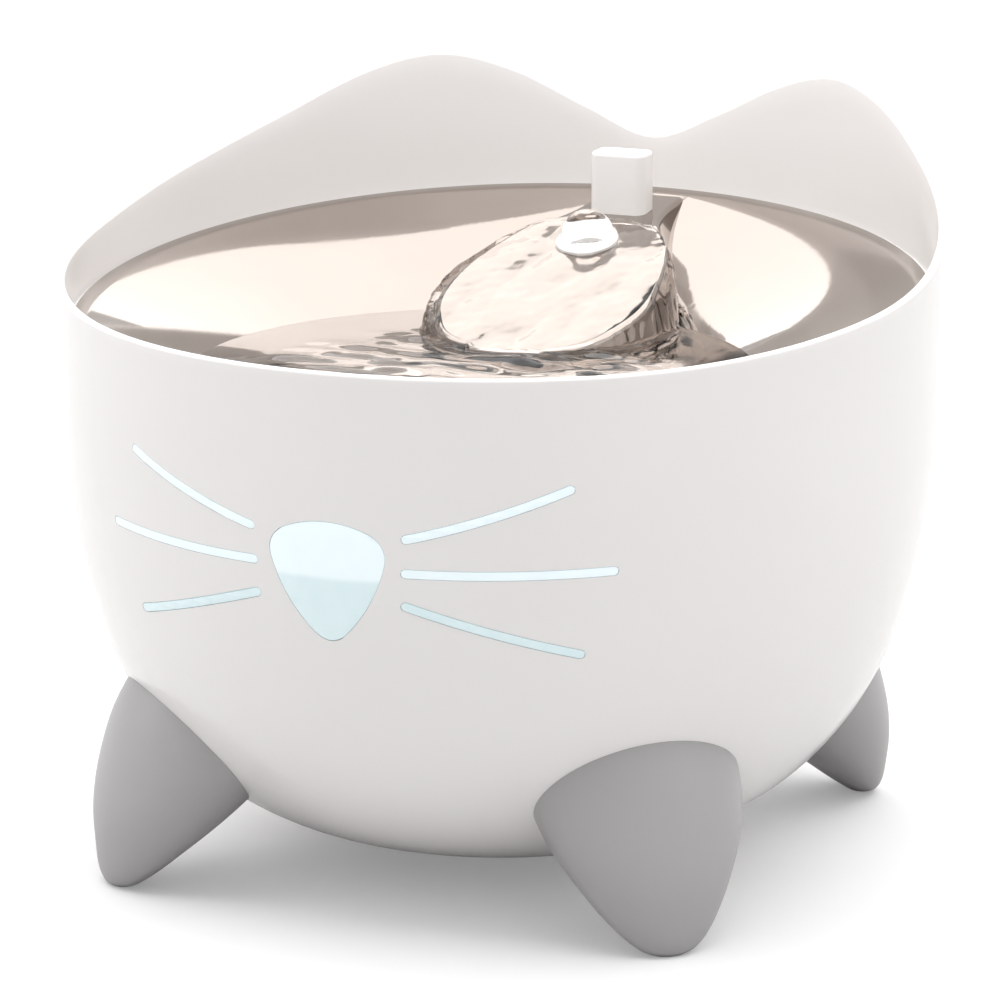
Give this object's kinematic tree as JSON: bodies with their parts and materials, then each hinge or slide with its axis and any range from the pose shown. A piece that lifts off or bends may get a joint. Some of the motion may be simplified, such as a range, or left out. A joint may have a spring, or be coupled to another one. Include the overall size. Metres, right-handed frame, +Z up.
{
  "type": "pet water fountain",
  "caption": "Round drinking fountain for cats: white bowl with an ear-shaped rim on horn feet, steel tray with a spill ramp and nozzle, filter and pump inside.",
  "frame": {"origin": "on the floor under the middle of the bowl", "axes": "+Z up, -Y towards the nose of the face, +X to the right as seen from the front"},
  "size_m": [0.2458, 0.2475, 0.205],
  "materials": {
    "white_plastic": "glossy white moulded plastic",
    "grey_plastic": "satin mid grey moulded plastic",
    "clear_blue": "clear pale blue moulded plastic, polished",
    "polished_steel": "mirror-polished stainless steel",
    "inner_white": "satin white plastic of the filter case",
    "black_plastic": "potted black pump housing",
    "rubber": "soft grey rubber",
    "shaft_steel": "ground stainless steel",
    "magnet": "dark bonded ferrite",
    "foam": "open dark foam",
    "pouch_cloth": "white non-woven cloth"
  },
  "bodies": {
    "bowl": {"bowl_shell": "white_plastic", "face_window": "clear_blue", "foot_front_left": "grey_plastic", "foot_front_right": "grey_plastic", "foot_rear_left": "grey_plastic", "foot_rear_right": "grey_plastic", "cord_grommet": "rubber"},
    "tray": {"drinking_tray": "polished_steel", "nozzle_ring": "white_plastic", "nozzle_nut": "inner_white", "grip_block": "white_plastic", "grip_clip": "inner_white"},
    "pump_unit": {"filter_case": "inner_white", "suction_cups": "rubber", "pump_body": "black_plastic", "cord_gland": "rubber", "led_lens": "clear_blue", "volute_cover": "inner_white", "rotor_shaft": "shaft_steel", "shaft_bushes": "rubber", "riser_tube": "inner_white", "support_grid": "inner_white"},
    "rotor": {"rotor_magnet": "magnet", "impeller": "inner_white"},
    "cartridge": {"cartridge_frame": "inner_white", "foam_pad": "foam", "carbon_pouch": "pouch_cloth"},
    "filter_lid": {"filter_lid": "inner_white"}
  },
  "joints": [
    {"name": "tray_lift", "type": "slide", "parent": "bowl", "child": "tray", "axis": [0, 0, 1], "range_m": [0, 0.1]},
    {"name": "case_lift", "type": "slide", "parent": "bowl", "child": "pump_unit", "axis": [0, 0, 1], "range_m": [0, 0.03]},
    {"name": "lid_lift", "type": "slide", "parent": "pump_unit", "child": "filter_lid", "axis": [0, 0, 1], "range_m": [0, 0.036]},
    {"name": "cartridge_lift", "type": "slide", "parent": "pump_unit", "child": "cartridge", "axis": [0, 0, 1], "range_m": [0, 0.018]},
    {"name": "impeller_spin", "type": "hinge", "parent": "pump_unit", "child": "rotor", "pos_m": [0, 0.055, 0.0415], "axis": [0, 1, 0], "continuous": true}
  ],
  "couplings": [
    {"joint": "case_lift", "follows": "tray_lift", "ratio": 0.3},
    {"joint": "cartridge_lift", "follows": "lid_lift", "ratio": 0.5}
  ]
}
